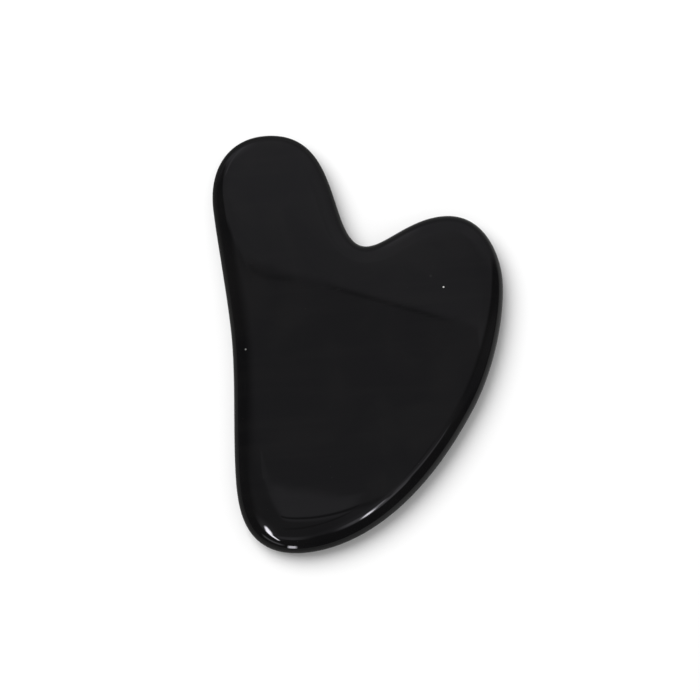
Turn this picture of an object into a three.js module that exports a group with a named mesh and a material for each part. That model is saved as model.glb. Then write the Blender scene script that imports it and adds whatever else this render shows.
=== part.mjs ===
// A gua sha scraper: one flat plate of polished black stone, ground to a two-lobed outline with a
// curved belly, a nearly straight waist and a blunt tip, and rounded all the way round its edge.
//
// Frame, in millimetres: the plate lies on z = 0 and +Z is its thickness. +Y runs from the tip to the
// two lobes, the tall lobe is on the -X side, and x = y = 0 is the middle of the outline's box.

import * as THREE from "three";

// ---- Driving dimensions -------------------------------------------------------------------------

const THICKNESS = 6;

// The outline, counterclockwise seen from above. At each knot the edge heads in direction `heading`
// (degrees from +X towards +Y), `before` and `after` are the lengths of the tangent handles on either
// side of it, and `nose` is the radius of the rounded edge.
const OUTLINE_KNOTS = [
  { at: "tall lobe, crown", x: -15.8, y: 40.8, heading: 180, before: 13.3, after: 6.6, nose: 2.9 },
  { at: "tall lobe, side", x: -26.8, y: 27.8, heading: 270, before: 7.9, after: 4.9, nose: 2.9 },
  { at: "waist", x: -25.3, y: 0.6, heading: 270, before: 7.9, after: 8.7, nose: 2.75 },
  { at: "tip, side", x: -26.7, y: -26.6, heading: 270, before: 7.7, after: 5.5, nose: 2.7 },
  { at: "tip, end", x: -15.1, y: -40.8, heading: 0, before: 10.9, after: 6.8, nose: 2.5 },
  { at: "belly", x: 18.7, y: -16.5, heading: 57, before: 25, after: 10.2, nose: 2.85 },
  { at: "short lobe, side", x: 26.8, y: 8.3, heading: 90, before: 5.4, after: 5.1, nose: 2.9 },
  { at: "short lobe, crown", x: 16.8, y: 21.5, heading: 180, before: 7.7, after: 8.6, nose: 2.9 },
  { at: "notch", x: -1.1, y: 18.7, heading: 122, before: 6.5, after: 6.9, nose: 2.9 },
];

// The slope at which the round nose of the edge passes into the roll-off that rises to the flat face.
const ROLL_SLOPE = THREE.MathUtils.degToRad(13);

// How finely the solid is faceted.
const STATIONS_PER_SPAN = 20;
const NOSE_STEPS = 10;
const ROLL_STEPS = 3;

const polishedBlackStone = new THREE.MeshStandardMaterial({
  name: "polished_black_stone",
  color: 0x1c1c1f,
  roughness: 0.08,
  metalness: 0,
});

// ---- Outline ------------------------------------------------------------------------------------

// The point that lies `reach` ahead of a knot along its heading.
function handle(knot, reach) {
  const angle = THREE.MathUtils.degToRad(knot.heading);
  return new THREE.Vector2(knot.x + reach * Math.cos(angle), knot.y + reach * Math.sin(angle));
}

function spanCurve(from, to) {
  return new THREE.CubicBezierCurve(
    new THREE.Vector2(from.x, from.y),
    handle(from, from.after),
    handle(to, -to.before),
    new THREE.Vector2(to.x, to.y),
  );
}

// Evenly spaced stations along the curve from one knot to the next, each with its inward direction
// and its own nose radius.
function spanStations(from, to) {
  const curve = spanCurve(from, to);
  return Array.from({ length: STATIONS_PER_SPAN }, (_, step) => {
    const share = step / STATIONS_PER_SPAN;
    const tangent = curve.getTangentAt(share);
    const blend = THREE.MathUtils.smoothstep(share, 0, 1);
    return {
      point: curve.getPointAt(share),
      inward: new THREE.Vector2(-tangent.y, tangent.x),
      nose: THREE.MathUtils.lerp(from.nose, to.nose, blend),
    };
  });
}

function outlineStations() {
  return OUTLINE_KNOTS.flatMap((from, index) => {
    const to = OUTLINE_KNOTS[(index + 1) % OUTLINE_KNOTS.length];
    return spanStations(from, to);
  });
}

// ---- Edge ---------------------------------------------------------------------------------------

// The section through the edge, from the border of the lower flat face, round the nose, to the border
// of the upper flat face. In each point x is the inset from the outline and y is the height.
function edgeSection(nose) {
  const middle = THICKNESS / 2;
  const joinInset = nose * (1 - Math.sin(ROLL_SLOPE));
  const joinHeight = middle - nose * Math.cos(ROLL_SLOPE);
  const halfRoll = joinHeight / Math.tan(ROLL_SLOPE);
  const rollOff = new THREE.QuadraticBezierCurve(
    new THREE.Vector2(joinInset + 2 * halfRoll, 0),
    new THREE.Vector2(joinInset + halfRoll, 0),
    new THREE.Vector2(joinInset, joinHeight),
  );
  const roundNose = new THREE.ArcCurve(
    nose,
    middle,
    nose,
    1.5 * Math.PI - ROLL_SLOPE,
    0.5 * Math.PI + ROLL_SLOPE,
    true,
  );
  const lowerRoll = rollOff.getPoints(ROLL_STEPS);
  const upperRoll = lowerRoll.map((p) => new THREE.Vector2(p.x, THICKNESS - p.y)).reverse();
  return [...lowerRoll, ...roundNose.getPoints(NOSE_STEPS).slice(1, -1), ...upperRoll];
}

// ---- The plate ----------------------------------------------------------------------------------

// The edge section carried round the outline, closed by a flat face below and above.
function plateGeometry() {
  const columns = outlineStations().map(({ point, inward, nose }) =>
    edgeSection(nose).map(
      (p) => new THREE.Vector3(point.x + p.x * inward.x, point.y + p.x * inward.y, p.y),
    ),
  );
  const rows = columns[0].length;
  const vertex = (column, row) => (column % columns.length) * rows + row;
  const triangles = [];
  for (let column = 0; column < columns.length; column++) {
    for (let row = 0; row < rows - 1; row++) {
      const a = vertex(column, row);
      const b = vertex(column + 1, row);
      const c = vertex(column + 1, row + 1);
      const d = vertex(column, row + 1);
      triangles.push(a, b, c, a, c, d);
    }
  }
  const faceBorder = columns.map((column) => new THREE.Vector2(column[0].x, column[0].y));
  for (const [a, b, c] of THREE.ShapeUtils.triangulateShape(faceBorder, [])) {
    triangles.push(vertex(c, 0), vertex(b, 0), vertex(a, 0));
    triangles.push(vertex(a, rows - 1), vertex(b, rows - 1), vertex(c, rows - 1));
  }
  const geometry = new THREE.BufferGeometry().setFromPoints(columns.flat());
  geometry.setIndex(triangles);
  geometry.computeVertexNormals();
  return geometry;
}

const scraper = new THREE.Group();
const stonePlate = new THREE.Mesh(plateGeometry(), polishedBlackStone);
stonePlate.name = "stone_plate";
scraper.add(stonePlate);

export default scraper;
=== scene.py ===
"""Looks of a gua sha scraper: one plate of polished black stone lying on a plain pale floor.

Everything is in metres and in the CAD frame: the plate lies on z = 0, +Z is its thickness and +Y runs
from the tip to the two lobes. The stone is a mirror, so most of what it shows is the room around it.
That room is a set of soft-edged panels in the world shader, and only reflections see them.
"""

import math

import bpy
import numpy as np
from mathutils import Matrix, Vector, geometry, noise


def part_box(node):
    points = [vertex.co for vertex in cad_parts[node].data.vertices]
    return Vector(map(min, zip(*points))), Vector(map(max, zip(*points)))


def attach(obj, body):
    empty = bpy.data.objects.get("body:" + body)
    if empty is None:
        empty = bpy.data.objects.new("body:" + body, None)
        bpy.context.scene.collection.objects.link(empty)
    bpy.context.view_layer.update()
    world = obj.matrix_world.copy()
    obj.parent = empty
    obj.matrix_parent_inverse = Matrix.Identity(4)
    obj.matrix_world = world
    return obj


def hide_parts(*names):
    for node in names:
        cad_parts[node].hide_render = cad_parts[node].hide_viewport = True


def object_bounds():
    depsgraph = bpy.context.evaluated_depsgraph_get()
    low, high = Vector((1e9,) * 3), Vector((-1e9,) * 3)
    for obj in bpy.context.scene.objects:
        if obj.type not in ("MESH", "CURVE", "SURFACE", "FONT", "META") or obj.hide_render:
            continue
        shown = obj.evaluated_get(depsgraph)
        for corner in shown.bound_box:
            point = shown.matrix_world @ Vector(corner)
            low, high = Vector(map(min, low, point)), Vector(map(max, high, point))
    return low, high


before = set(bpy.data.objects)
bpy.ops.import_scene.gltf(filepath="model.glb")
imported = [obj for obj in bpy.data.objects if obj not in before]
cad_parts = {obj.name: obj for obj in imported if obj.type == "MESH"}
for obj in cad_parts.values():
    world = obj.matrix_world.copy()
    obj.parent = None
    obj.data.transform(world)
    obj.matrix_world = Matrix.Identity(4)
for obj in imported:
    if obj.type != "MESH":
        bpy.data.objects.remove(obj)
cad_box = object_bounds()

MM = 0.001
PLATE_NODE = "stone_plate"

# ---- Shape of the stone -------------------------------------------------------------------------

# The slope at which the round nose of the edge passes into the roll-off, and the power of the way in
# by which that slope dies away towards the flat face.
ROLL_SLOPE = math.radians(13)
ROLL_POWER = 1.5
# The flat face starts to sink very gently well before the roll-off: how steeply where the roll-off
# starts, and how far in it starts, in widths of the roll-off.
SHOULDER_SLOPE = math.radians(0.45)
SHOULDER_REACH = 1.85
# How fine the mesh is: stations round the outline, rows down the nose and across the roll-off, and the
# spacing of the points inside the flat faces, which keep a share of it clear of the roll-off.
STATIONS = 640
NOSE_ROWS = 28
ROLL_ROWS = 12
FACE_SPACING = 0.8 * MM
BORDER_CLEARANCE = 0.6

# Hand polishing leaves the faces very slightly wavy and the width of the roll-off uneven.
FACE_WAVE = 0.0006 * MM
FACE_WAVE_LENGTH = 10 * MM
FACE_WAVE_SEED = 7
ROLL_WAVE = 0.02
ROLL_WAVE_LENGTH = 9 * MM
ROLL_WAVE_SEED = 3

# ---- Stone and floor surfaces -------------------------------------------------------------------

# The stone's patterns are made in millimetres, so a noise of scale 0.1 changes once in 10 mm.
STONE_BLACK = (0.0013, 0.0013, 0.0014, 1)
STONE_SMOKE = (0.0028, 0.0027, 0.0026, 1)
BAND_TURN = 24
BAND_SCALE = (0.03, 0.35, 0.2)
BAND_STRENGTH = 0.6
GRAIN_GREY = (0.02, 0.019, 0.017, 1)
STONE_IOR = 1.5

# Pale specks in the upper face: place and radius in millimetres, and how pale each one is.
SPECKS = [
    ((15.3, 6.7), 0.17, 0.55),
    ((-22.8, -1.9), 0.17, 0.16),
    ((13.1, 9.1), 0.25, 0.008),
]
SPECK_WARMTH = 0.97

# Roughness of the clean polish, and how much each kind of flaw adds to it.
POLISH = 0.016
SMUDGE_DULLING = 0.012
SCRATCH_DULLING = 0.03
WEAR_DULLING = 0.06
GRAIN_DULLING = 0.1
CHIP_DULLING = 0.25

# Scratches run in two directions, in degrees about Z. The second number sets how wide they are, and
# the scale draws them out along their direction.
SCRATCHES = [(37, 0.006), (-52, 0.004)]
SCRATCH_SCALE = (0.035, 0.9, 0.9)
SCRATCH_DEPTH = 0.00004 * MM

# The nose is worn fully up to the first of these heights from mid thickness, in millimetres, and not
# at all past the second. The underside is worn less, and only up to a small height from the floor.
NOSE_WORN = 0.5
NOSE_UNWORN = 1.9
UNDERSIDE_HEIGHT = 0.4
UNDERSIDE_WEAR = 0.7
WEAR_DEPTH = 0.002 * MM
CHIP_PALENESS = 0.5

WHITE = (1, 1, 1, 1)
# The floor ends where it is still lit as brightly as the backdrop, so that no horizon shows.
FLOOR_SIZE = 1.2
FLOOR_PALE = (0.88, 0.88, 0.88, 1)
# The polished edge mirrors the floor darker than it looks: partly a floor greyer than the white backdrop, and
# partly painted shade that only reflections see, which stands in for the floor's shade round the plate and is
# deepest to its left and beyond its far side. The edge mirrors this much of it to the plate's left and right,
# and only the far share of that beyond its far side.
FLOOR_MIRRORED_LEFT = 0.17
FLOOR_MIRRORED_RIGHT = 0.34
FLOOR_MIRRORED_FAR_SHARE = 0.5

# ---- Camera and room ----------------------------------------------------------------------------

# The camera looks down on the plate, a little from the tip's side.
CAMERA_TILT = math.radians(15)
CAMERA_TURN = math.radians(-5.3)
CAMERA_DISTANCE = 0.45
CAMERA_LENS_MM = 122.9
CAMERA_SENSOR_MM = 36
CAMERA_CLIP_START = 0.01
AIM_OFFSET = Vector((-3.3 * MM, -3.1 * MM, 0))

# The soft lamp stands at the upper left. Directions are written as in ROOM_PANELS below.
KEY_DIRECTION = (-26.5, 18)
KEY_DISTANCE = 0.9
KEY_SIZE = 0.8
KEY_WATTS = 7.4

# How bright the room looks to the camera, and how bright it is as light on matt surfaces.
BACKDROP = 1.0
AMBIENT = 0.575
# What the stone mirrors where no panel is, and the cool tint of all it mirrors.
DARK_ROOM = 0.085
ROOM_TINT = (1.0, 0.98, 1.06, 1)

# Each panel is a patch of the room as the stone mirrors it: its name, how bright it is, its softness and
# its corners. The corners are directions from the plate, in degrees from straight up, towards the right
# and the far side of the picture, counterclockwise from above. Softness is the blur of the panel's sides
# in degrees, for all of them or for each in turn. A panel covers those before it.
ROOM_PANELS = [
    # Overhead, mirrored near the tip: the ceiling, and a skylight with the boom of a lamp stand under it.
    ("ceiling", 0.228, (10, 2, 6, 6), [(-17, 40), (-17, -13.5), (19, -13.5), (19, 40)]),
    ("ceiling_corner", 0.135, 4, [(24, -6), (80, -12), (80, 12), (24, 8)]),
    ("near_ceiling", 0.175, (6, 2, 2, 3.5, 3), [(-25, 11.5), (-16, -13.5), (9, -13.5), (6, -3), (-5, 11.5)]),
    (
        "skylight",
        0.34,
        (0.3, 0.3, 0.2, 1.5, 1.5, 1.1, 0.8),
        [(1.2, 9.5), (-0.1, 11.1), (-1.6, 11.75), (-3.2, 11.6), (-2.6, 3), (5.5, -1.5), (3.2, 6.2)],
    ),
    ("skylight_end", 0.28, (0.2, 0.5, 0.2, 0.5), [(-2.5, 12), (-7, 12.5), (-7, 11.5), (-2.5, 11.2)]),
    ("boom_arm", 0.11, 0.5, [(-3, 5.0), (5.6, -0.4), (6, 0.9), (-2.6, 6.3)]),
    ("boom_arm_end", 0.15, 0.7, [(5.6, -0.6), (13.6, -7.6), (14.6, -6), (6, 0.9)]),
    ("boom_foot", 0.16, 0.8, [(14.4, -4.6), (16.4, -3.6), (17.4, 1), (15.4, 2.6)]),
    ("low_boom_arm", 0.11, (0.6, 0.6, 0.6, 3), [(-2.5, -6.8), (5.8, -2.5), (6, -1.2), (-2.5, -4.6)]),
    # The walls on the far side. The straight dark line across the flat face is the joints at their near
    # border, and the rounded edge of the lobes mirrors their foot.
    (
        "left_wall",
        0.297,
        (2.5, 1.5, 0.4, 0.3, 2, 10, 4),
        [(-42, 28), (-35.5, 16.8), (-30, 14), (-13.5, 15.2), (1, 17.65), (1, 100), (-75, 85)],
    ),
    ("right_wall", 0.297, (0.1, 4.5, 10, 0.3), [(-8.8, 18.8), (18.3, 10.7), (82, 53.5), (-8.8, 100)]),
    ("upper_wall", 0.35, (1.1, 10, 10, 10), [(-15, 17.9), (15, 17.9), (60, 70), (-60, 70)]),
    ("wall_end", 0.255, (0.8, 2, 4, 4, 1.5), [(3, 16.2), (13, 13.6), (24, 13), (30, 24), (3, 20)]),
    ("left_joint", 0.16, (0.4, 0.1, 0.2, 3), [(-12, 14.9), (-2.4, 16.76), (-2, 16.92), (-12, 15.4)]),
    (
        "middle_joint",
        0.15,
        (0.05, 0.2, 0.08, 0.3),
        [(-3, 16.76), (-1.35, 16.63), (-1.35, 16.76), (-3, 16.93)],
    ),
    ("right_joint", 0.15, (0.02, 0.5, 0.04, 0.06), [(-0.6, 16.5), (2.3, 15.68), (2.3, 15.78), (-0.6, 16.6)]),
    ("far_wall_foot", 0.2, (16, 8, 8, 8), [(-67, 39), (67, 39), (110, 64), (-110, 64)]),
    # A window at the far left.
    ("window", 0.46, 6, [(-34, 36), (-11, 35), (-17, 66), (-60, 58)]),
    ("window_edge", 0.62, 1.5, [(-33, 28), (-27, 28), (-21, 58), (-29, 60)]),
    # The lamp that draws the bright line along the belly.
    ("right_lamp_glow", 0.33, 2.5, [(5, -13), (20, -5), (23, 2), (13, -4)]),
    ("right_lamp_foot", 0.42, (0.9, 3, 0.9, 0.9), [(-9, -19.2), (2, -17), (2, -13.5), (-9, -15)]),
    (
        "right_lamp_edge",
        1.0,
        (1.4, 1.4, 0.7, 0.7, 0.7, 2.5),
        [(9.5, -14.4), (16.5, -12.6), (22, -8.6), (20.5, -6.4), (15, -8.6), (9, -11.4)],
    ),
    ("right_lamp_tail", 0.72, 0.9, [(17, -8), (28, -4), (26, -1), (16, -6)]),
    (
        "right_lamp",
        17,
        (0.9, 0.9, 0.9, 0.7, 0.5),
        [(12.95, -12.5), (14.4, -12.6), (15.2, -10.8), (14.2, -9.4), (13, -10.3)],
    ),
    ("right_lamp_end", 3, 0.7, [(13, -10.2), (15.2, -10.2), (16, -8.6), (14.8, -7.8)]),
    # The lights that make the small highlights round the tip.
    ("left_lamp_glow", 0.45, 5, [(-24, -2), (-17, -30), (-8, -27), (-12, -6)]),
    ("left_lamp", 22, 1.2, [(-20.5, -8), (-18, -20), (-16.5, -36), (-12.5, -35), (-12.8, -12), (-16.5, -7)]),
    ("side_window", 1.1, 4, [(-48, -46), (-18, -70), (-15, -60), (-42, -38)]),
    ("low_lamp", 10, 1.5, [(-12, -88), (-1, -88), (-1, -66), (-9, -66)]),
]


# ---- Shader graph helpers -----------------------------------------------------------------------


def feed(tree, socket, value):
    """Links value into socket when it is another socket, and sets it there otherwise."""
    if isinstance(value, bpy.types.NodeSocket):
        tree.links.new(value, socket)
    else:
        socket.default_value = value


def add_node(tree, kind, inputs=None, **settings):
    """A new node with its properties set from settings and its sockets fed from inputs."""
    node = tree.nodes.new(kind)
    for name, value in settings.items():
        setattr(node, name, value)
    for name, value in (inputs or {}).items():
        feed(tree, node.inputs[name], value)
    return node


def math_node(tree, operation, *values):
    """The result of one Math node."""
    node = add_node(tree, "ShaderNodeMath", operation=operation)
    for socket, value in zip(node.inputs, values):
        feed(tree, socket, value)
    return node.outputs["Value"]


def remap(tree, value, low, high, to_low=0.0, to_high=1.0):
    """value from low to high becomes to_low to to_high, smoothly and without passing them. Where low is
    above high, it falls instead."""
    inputs = {"Value": value, "From Min": low, "From Max": high, "To Min": to_low, "To Max": to_high}
    return add_node(tree, "ShaderNodeMapRange", inputs, interpolation_type="SMOOTHSTEP").outputs["Result"]


def mix_value(tree, share, first, second):
    """first where share is 0 and second where it is 1."""
    inputs = {"Factor": share, "A": first, "B": second}
    return add_node(tree, "ShaderNodeMix", inputs, data_type="FLOAT").outputs["Result"]


def mix_colour(tree, share, first, second):
    """The same for colours. A Mix node has an A, a B and a Result of each type, and its colour ones are
    reached by number, because the name finds the number ones."""
    node = add_node(tree, "ShaderNodeMix", {"Factor": share}, data_type="RGBA")
    feed(tree, node.inputs[6], first)
    feed(tree, node.inputs[7], second)
    return node.outputs[2]


def stretched(tree, place, turn, scale):
    """place turned about Z by turn degrees and scaled, for patterns that run in one direction."""
    node = add_node(tree, "ShaderNodeMapping", {"Vector": place, "Scale": scale})
    node.inputs["Rotation"].default_value = (0, 0, math.radians(turn))
    return node.outputs["Vector"]


def noise_node(tree, place, scale, detail=2.0, distortion=0.0):
    """Smooth noise between 0 and 1 that changes scale times over one unit of place."""
    inputs = {"Vector": place, "Scale": scale, "Detail": detail, "Distortion": distortion}
    return add_node(tree, "ShaderNodeTexNoise", inputs).outputs["Fac"]


# ---- Outline and section of the plate -----------------------------------------------------------


def plate_loops():
    """The CAD plate's outline at mid thickness, in order round the plate, and the border of its top face."""
    low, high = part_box(PLATE_NODE)
    points = np.array([v.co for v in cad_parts[PLATE_NODE].data.vertices])
    points = np.unique(points.round(8), axis=0)
    tolerance = 0.01 * MM
    outline = points[np.abs(points[:, 2] - (low.z + high.z) / 2) < tolerance]
    border = points[np.abs(points[:, 2] - high.z) < tolerance]
    order = np.argsort(np.arctan2(outline[:, 1], outline[:, 0]))
    return outline[order, :2], border[:, :2]


def closed_spline(points, count):
    """count points evenly spaced along the smooth closed curve through points, whose first two
    columns are the position and set the spacing. Any further columns are carried along."""
    ahead = np.roll(points, -1, axis=0)
    step = np.linalg.norm((ahead - points)[:, :2], axis=1)
    step_before = np.roll(step, 1)
    total = len(points)
    system = np.zeros((total, total))
    rows = np.arange(total)
    system[rows, rows - 1] = step_before
    system[rows, rows] = 2 * (step_before + step)
    system[rows, (rows + 1) % total] += step
    slope = (ahead - points) / step[:, None]
    bend = np.linalg.solve(system, 6 * (slope - np.roll(slope, 1, axis=0)))
    bend_ahead = np.roll(bend, -1, axis=0)
    start = np.concatenate([[0], np.cumsum(step)])
    along = np.linspace(0, start[-1], count, endpoint=False)
    span = np.clip(np.searchsorted(start, along, side="right") - 1, 0, total - 1)
    b = ((along - start[span]) / step[span])[:, None]
    a = 1 - b
    square = (step[span] ** 2 / 6)[:, None]
    return (
        a * points[span]
        + b * ahead[span]
        + square * ((a**3 - a) * bend[span] + (b**3 - b) * bend_ahead[span])
    )


def sunk(height, inset, roll_width, half_thickness):
    """The height above mid thickness after the gentle slope that leads from the flat to the roll-off."""
    reach = SHOULDER_REACH * roll_width
    share = np.clip((reach - inset) / (reach - roll_width), 0, None)
    drop = math.tan(SHOULDER_SLOPE) * (reach - roll_width) / 3 * share**3
    return height * (1 - drop / half_thickness)


def edge_section(roll_width, half_thickness):
    """Insets and heights of the rounded edge, from the upper face round the nose to the lower one, for
    one station. The nose radius is the one that leaves a roll-off of roll_width up to the flat face."""
    slope = math.tan(ROLL_SLOPE)
    nose = (2 * half_thickness / slope - roll_width) / (
        2 * math.cos(ROLL_SLOPE) / slope - 1 + math.sin(ROLL_SLOPE)
    )
    join = nose * (1 - math.sin(ROLL_SLOPE))
    reach = (roll_width - join) * (ROLL_POWER + 1) / 2
    share = np.linspace(0, 1, ROLL_ROWS, endpoint=False)
    roll_inset = join + reach * (1 - share)
    roll_height = half_thickness - slope * reach / (ROLL_POWER + 1) * share ** (ROLL_POWER + 1)
    angle = np.linspace(ROLL_SLOPE, math.pi / 2, NOSE_ROWS)
    inset = np.concatenate([roll_inset, nose * (1 - np.sin(angle))])
    height = sunk(np.concatenate([roll_height, nose * np.cos(angle)]), inset, roll_width, half_thickness)
    return np.concatenate([inset, inset[-2::-1]]), np.concatenate([height, -height[-2::-1]])


# ---- The plate ----------------------------------------------------------------------------------


def wave(points, length, seed):
    """A smooth random number between about -1 and 1 for each point of the plan, varying over length."""
    return np.array([noise.noise(Vector((x / length, y / length, seed))) for x, y in points])


def face_fill(border):
    """Points and triangles that fill the flat face inside border, with border's points first."""
    low, high = border.min(axis=0), border.max(axis=0)
    row_step = FACE_SPACING * math.sqrt(3) / 2
    grid = []
    for row in range(int((high[1] - low[1]) / row_step) + 1):
        shift = FACE_SPACING / 2 * (row % 2)
        for x in np.arange(low[0] + shift, high[0], FACE_SPACING):
            grid.append((x, low[1] + row * row_step))
    grid = np.array(grid)
    gap = np.array([np.linalg.norm(border - p, axis=1).min() for p in grid])
    grid = grid[gap > BORDER_CLEARANCE * FACE_SPACING]
    points = [Vector(p) for p in np.concatenate([border, grid])]
    count = len(border)
    ring = [(i, (i + 1) % count) for i in range(count)]
    inside_only = 1
    tolerance = 1e-9
    filled, _, triangles, origins, _, _ = geometry.delaunay_2d_cdt(
        points, ring, [], inside_only, tolerance
    )
    # The triangulation may renumber points, so this makes sure that the border kept its numbers.
    assert all(i in origin for i, origin in enumerate(origins[:count]))
    used = sorted({i for triangle in triangles for i in triangle} - set(range(count)))
    place = {old: new for new, old in enumerate(list(range(count)) + used)}
    inner = np.array([filled[i] for i in used]).reshape(-1, 2)
    return inner, [[place[i] for i in triangle] for triangle in triangles]


def outline_stations():
    """Evenly spaced points round the outline, the direction into the plate at each of them, and the
    width of the roll-off there."""
    outline, border = plate_loops()
    roll_width = np.array([np.linalg.norm(border - p, axis=1).min() for p in outline])
    roll_width *= 1 + ROLL_WAVE * wave(outline, ROLL_WAVE_LENGTH, ROLL_WAVE_SEED)
    stations = closed_spline(np.column_stack([outline, roll_width]), STATIONS)
    point, roll_width = stations[:, :2], stations[:, 2]
    tangent = np.roll(point, -1, axis=0) - np.roll(point, 1, axis=0)
    tangent /= np.linalg.norm(tangent, axis=1)[:, None]
    inward = np.column_stack([-tangent[:, 1], tangent[:, 0]])
    return point, inward, roll_width


def edge_points(point, inward, roll_width, half_thickness):
    """The rounded edge as rows of points round the plate, from the border of the upper face down to
    that of the lower one, with heights from mid thickness."""
    sections = [edge_section(width, half_thickness) for width in roll_width]
    inset = np.array([s[0] for s in sections])
    height = np.array([s[1] for s in sections])
    rows = inset.shape[1]
    edge = np.empty((rows, STATIONS, 3))
    for row in range(rows):
        edge[row, :, :2] = point + inward * inset[:, row, None]
        edge[row, :, 2] = height[:, row]
    return edge


def plate_faces(rows, triangles, inner_count):
    """Quads round the edge, then triangles on the upper and the lower face. The vertices are the edge's
    rows in turn, then the points inside the upper face, then those inside the lower one."""
    faces = []
    for row in range(rows - 1):
        here, below = row * STATIONS, (row + 1) * STATIONS
        for station in range(STATIONS):
            ahead = (station + 1) % STATIONS
            faces.append((here + station, below + station, below + ahead, here + ahead))
    last_row = (rows - 1) * STATIONS
    first_upper = rows * STATIONS
    first_lower = first_upper + inner_count
    for triangle in triangles:
        top = [i if i < STATIONS else i - STATIONS + first_upper for i in triangle]
        bottom = [i + last_row if i < STATIONS else i - STATIONS + first_lower for i in triangle]
        faces.append(top)
        faces.append(bottom[::-1])
    return faces


def build_plate():
    """The stone's finished mesh, shaped after the CAD plate's outline, roll-off and thickness."""
    low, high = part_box(PLATE_NODE)
    half_thickness = (high.z - low.z) / 2
    point, inward, roll_width = outline_stations()
    edge = edge_points(point, inward, roll_width, half_thickness)

    inner, triangles = face_fill(edge[0, :, :2])
    gap = [np.linalg.norm(point - p, axis=1) for p in inner]
    inner_inset = np.array([g.min() for g in gap])
    inner_height = sunk(half_thickness, inner_inset, roll_width[[g.argmin() for g in gap]], half_thickness)
    upper = np.column_stack([inner, inner_height])
    lower = np.column_stack([inner, -inner_height])
    vertices = np.concatenate([edge.reshape(-1, 3), upper, lower])
    vertices[:, 2] *= 1 + FACE_WAVE / half_thickness * wave(vertices[:, :2], FACE_WAVE_LENGTH, FACE_WAVE_SEED)
    vertices[:, 2] += low.z + half_thickness

    mesh = bpy.data.meshes.new("polished_stone")
    mesh.from_pydata(vertices.tolist(), [], plate_faces(len(edge), triangles, len(inner)))
    mesh.validate()
    mesh.polygons.foreach_set("use_smooth", [True] * len(mesh.polygons))
    plate = bpy.data.objects.new("polished_stone", mesh)
    bpy.context.scene.collection.objects.link(plate)
    return plate


# ---- Materials ----------------------------------------------------------------------------------


def speck_mask(tree, place, spot, radius):
    """1 inside a round speck with a blurred rim, seen from above."""
    flat = add_node(tree, "ShaderNodeVectorMath", {0: place, 1: (1, 1, 0)}, operation="MULTIPLY").outputs[0]
    apart = add_node(tree, "ShaderNodeVectorMath", {0: flat, 1: (*spot, 0)}, operation="DISTANCE")
    return remap(tree, apart.outputs["Value"], low=1.25 * radius, high=0.6 * radius)


def grain_mask(tree, place, spacing, radius, share):
    """Round grains of about one radius, in that share of the cells of one spacing."""
    inputs = {"Vector": place, "Scale": 1 / spacing}
    cells = add_node(tree, "ShaderNodeTexVoronoi", inputs)
    rim = radius / spacing
    inside = remap(tree, cells.outputs["Distance"], low=rim, high=0.5 * rim)
    luck = add_node(tree, "ShaderNodeSeparateColor", {"Color": cells.outputs["Color"]}).outputs["Red"]
    return math_node(tree, "MULTIPLY", inside, math_node(tree, "GREATER_THAN", luck, 1 - share))


def hairlines(tree, place, turn, width):
    """Thin, nearly straight scratches, which are the level lines of a noise drawn out to one side."""
    drawn_out = stretched(tree, place, turn, SCRATCH_SCALE)
    centred = math_node(tree, "SUBTRACT", noise_node(tree, drawn_out, scale=1, detail=1), 0.5)
    return remap(tree, math_node(tree, "ABSOLUTE", centred), low=width, high=0.3 * width)


def stone_body(tree, place):
    """Near-black colour with smoky clouds and faint bands."""
    cloud_noise = noise_node(tree, place, scale=0.06, detail=5, distortion=0.8)
    clouds = remap(tree, cloud_noise, low=0.42, high=0.68)
    band_noise = noise_node(tree, stretched(tree, place, BAND_TURN, BAND_SCALE), scale=1, detail=4)
    bands = remap(tree, band_noise, low=0.45, high=0.7)
    colour = mix_colour(tree, clouds, STONE_BLACK, STONE_SMOKE)
    return mix_colour(tree, math_node(tree, "MULTIPLY", bands, BAND_STRENGTH), colour, STONE_SMOKE)


def with_specks(tree, colour, place, on_top):
    """colour with the pale specks of the upper face over it."""
    for spot, radius, paleness in SPECKS:
        mask = math_node(tree, "MULTIPLY", speck_mask(tree, place, spot, radius), on_top)
        colour = mix_colour(tree, mask, colour, (paleness, paleness, SPECK_WARMTH * paleness, 1))
    return colour


def wear_mask(tree, place, height, middle):
    """Up to 1 along the nose of the edge and on the underside, broken up by noise."""
    from_middle = math_node(tree, "ABSOLUTE", math_node(tree, "SUBTRACT", height, middle))
    nose = remap(tree, from_middle, low=NOSE_UNWORN, high=NOSE_WORN)
    underside = remap(tree, height, low=UNDERSIDE_HEIGHT, high=0, to_high=UNDERSIDE_WEAR)
    patches = remap(tree, noise_node(tree, place, scale=0.5, detail=4), low=0.4, high=0.66)
    return math_node(tree, "MULTIPLY", math_node(tree, "MAXIMUM", nose, underside), patches)


def stone_relief(tree, place, wear, marks):
    """The normal of a surface that is uneven where it is worn and dented by the marks."""
    unevenness = math_node(tree, "MULTIPLY", noise_node(tree, place, scale=1.2, detail=5), wear)
    worn = add_node(tree, "ShaderNodeBump", {"Height": unevenness, "Distance": WEAR_DEPTH})
    dented = {"Height": marks, "Distance": SCRATCH_DEPTH, "Normal": worn.outputs["Normal"]}
    return add_node(tree, "ShaderNodeBump", dented, invert=True).outputs["Normal"]


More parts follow.
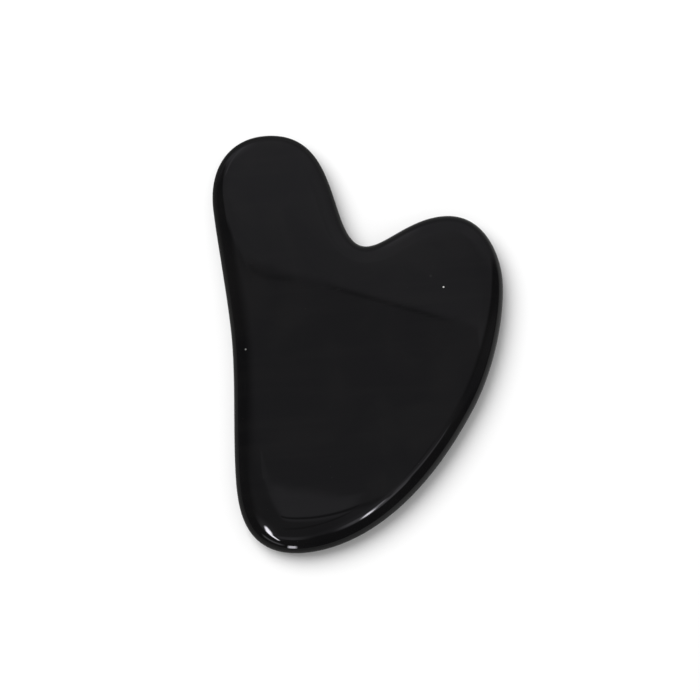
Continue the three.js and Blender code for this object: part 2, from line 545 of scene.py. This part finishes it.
def stone_material():
    """Near-black polished stone, smoky and faintly banded, with a few pale specks, hairline scratches,
    smudges that dull the polish, and an edge and an underside worn by use."""
    material = bpy.data.materials.new("black_stone")
    material.use_nodes = True
    tree = material.node_tree
    surface = tree.nodes["Principled BSDF"]
    low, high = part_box(PLATE_NODE)
    middle = (low.z + high.z) / 2 / MM
    local = add_node(tree, "ShaderNodeTexCoord").outputs["Object"]
    place = add_node(tree, "ShaderNodeVectorMath", {0: local, "Scale": 1 / MM}, operation="SCALE").outputs[0]
    height = add_node(tree, "ShaderNodeSeparateXYZ", {"Vector": place}).outputs["Z"]

    grains = grain_mask(tree, place, spacing=2.2, radius=0.07, share=0.12)
    wear = wear_mask(tree, place, height, middle)
    chips = math_node(tree, "MULTIPLY", grain_mask(tree, place, spacing=1.1, radius=0.09, share=0.2), wear)
    scratches = 0
    for turn, width in SCRATCHES:
        scratches = math_node(tree, "MAXIMUM", scratches, hairlines(tree, place, turn, width))
    smudge_noise = noise_node(tree, place, scale=0.09, detail=6, distortion=1.2)
    smudges = remap(tree, smudge_noise, low=0.5, high=0.72)

    colour = mix_colour(tree, grains, stone_body(tree, place), GRAIN_GREY)
    colour = with_specks(tree, colour, place, math_node(tree, "GREATER_THAN", height, middle))
    colour = mix_colour(tree, math_node(tree, "MULTIPLY", chips, CHIP_PALENESS), colour, GRAIN_GREY)

    dulling = [
        (smudges, SMUDGE_DULLING),
        (scratches, SCRATCH_DULLING),
        (wear, WEAR_DULLING),
        (grains, GRAIN_DULLING),
        (chips, CHIP_DULLING),
    ]
    roughness = POLISH
    for mask, amount in dulling:
        roughness = math_node(tree, "ADD", roughness, math_node(tree, "MULTIPLY", mask, amount))
    marks = math_node(tree, "MAXIMUM", scratches, math_node(tree, "MAXIMUM", grains, chips))

    feed(tree, surface.inputs["Base Color"], colour)
    feed(tree, surface.inputs["Roughness"], roughness)
    feed(tree, surface.inputs["Normal"], stone_relief(tree, place, wear, marks))
    feed(tree, surface.inputs["IOR"], STONE_IOR)
    return material


def floor_material():
    """Pale matt floor, mirrored darker by the stone than the camera sees it: greyer, with painted shade that
    only reflections see.
    """
    low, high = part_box(PLATE_NODE)
    material = bpy.data.materials.new("pale_floor")
    material.use_nodes = True
    tree = material.node_tree
    tree.nodes.remove(tree.nodes["Principled BSDF"])
    place = add_node(tree, "ShaderNodeNewGeometry").outputs["Position"]
    axes = add_node(tree, "ShaderNodeSeparateXYZ", {"Vector": place}).outputs
    # The floor as reflections see it: greyer than it looks, with painted shade, deepest to the plate's left
    # and beyond its far side.
    across = remap(tree, axes["X"], low.x, high.x, FLOOR_MIRRORED_LEFT, FLOOR_MIRRORED_RIGHT)
    far_shade = remap(tree, axes["Y"], 0, high.y, 1, FLOOR_MIRRORED_FAR_SHARE)
    mirrored = math_node(tree, "MULTIPLY", across, far_shade)
    path = add_node(tree, "ShaderNodeLightPath")
    colour = mix_colour(tree, path.outputs["Is Glossy Ray"], FLOOR_PALE, mirrored)
    diffuse = add_node(tree, "ShaderNodeBsdfDiffuse", {"Color": colour})
    feed(tree, tree.nodes["Material Output"].inputs["Surface"], diffuse.outputs["BSDF"])
    return material


# ---- Room, lights and camera --------------------------------------------------------------------


def room_direction(right, far):
    """The direction that many degrees from straight up, towards the picture's right and far sides."""
    away = math.hypot(right, far)
    angle = math.radians(away)
    level = math.sin(angle) / away
    return Matrix.Rotation(CAMERA_TURN, 3, "Z") @ Vector((right * level, far * level, math.cos(angle)))


def panel_mask(tree, direction, corners, softness):
    """1 inside the panel and 0 outside it, blurred along its borders."""
    mask = 1.0
    for index, corner in enumerate(corners):
        ahead = corners[(index + 1) % len(corners)]
        side = room_direction(*corner).cross(room_direction(*ahead)).normalized()
        blur = math.radians(softness[index] if isinstance(softness, tuple) else softness)
        dot = add_node(tree, "ShaderNodeVectorMath", {0: direction, 1: side}, operation="DOT_PRODUCT")
        mask = math_node(tree, "MULTIPLY", mask, remap(tree, dot.outputs["Value"], -blur, blur))
    return mask


def build_room():
    """Lights everything evenly, shows the camera a white backdrop and the polished stone the panels."""
    world = bpy.data.worlds.new("studio")
    bpy.context.scene.world = world
    world.use_nodes = True
    tree = world.node_tree
    direction = add_node(tree, "ShaderNodeTexCoord").outputs["Generated"]
    mirrored = DARK_ROOM
    for _, radiance, softness, corners in ROOM_PANELS:
        mirrored = mix_value(tree, panel_mask(tree, direction, corners, softness), mirrored, radiance)
    path = add_node(tree, "ShaderNodeLightPath")
    seen = mix_value(tree, path.outputs["Is Glossy Ray"], AMBIENT, mirrored)
    seen = mix_value(tree, path.outputs["Is Camera Ray"], seen, BACKDROP)
    feed(tree, tree.nodes["Background"].inputs["Strength"], seen)
    tint = mix_colour(tree, path.outputs["Is Glossy Ray"], WHITE, ROOM_TINT)
    feed(tree, tree.nodes["Background"].inputs["Color"], tint)


def build_floor():
    """The floor, level with the plate's resting face."""
    bpy.ops.mesh.primitive_plane_add(size=FLOOR_SIZE, location=(0, 0, cad_box[0][2]))
    floor = bpy.context.object
    floor.name = "floor"
    floor.data.materials.append(floor_material())


def build_key_light():
    """The lamp that casts the plate's soft shadow. The stone's own highlights are room panels."""
    light = bpy.data.lights.new("key", "AREA")
    light.shape = "DISK"
    light.size = KEY_SIZE
    light.energy = KEY_WATTS
    lamp = bpy.data.objects.new("key", light)
    lamp.visible_glossy = False
    lamp.visible_camera = False
    toward = room_direction(*KEY_DIRECTION)
    lamp.location = toward * KEY_DISTANCE
    lamp.rotation_euler = toward.to_track_quat("Z", "Y").to_euler()
    bpy.context.scene.collection.objects.link(lamp)


def build_camera():
    """The camera at the photograph's viewing angle."""
    low, high = (Vector(corner) for corner in cad_box)
    aim = (low + high) / 2 + AIM_OFFSET
    turn = Matrix.Rotation(CAMERA_TURN, 4, "Z") @ Matrix.Rotation(CAMERA_TILT, 4, "X")
    camera = bpy.data.objects.new("camera", bpy.data.cameras.new("camera"))
    camera.data.lens = CAMERA_LENS_MM
    camera.data.sensor_width = CAMERA_SENSOR_MM
    camera.data.clip_start = CAMERA_CLIP_START
    camera.matrix_world = Matrix.Translation(aim) @ turn @ Matrix.Translation((0, 0, CAMERA_DISTANCE))
    bpy.context.scene.collection.objects.link(camera)
    bpy.context.scene.camera = camera


plate = build_plate()
plate.data.materials.append(stone_material())
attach(plate, "root")
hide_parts(PLATE_NODE)

build_room()
build_floor()
build_key_light()
build_camera()
bpy.context.scene.view_settings.view_transform = "Standard"

bpy.context.view_layer.update()
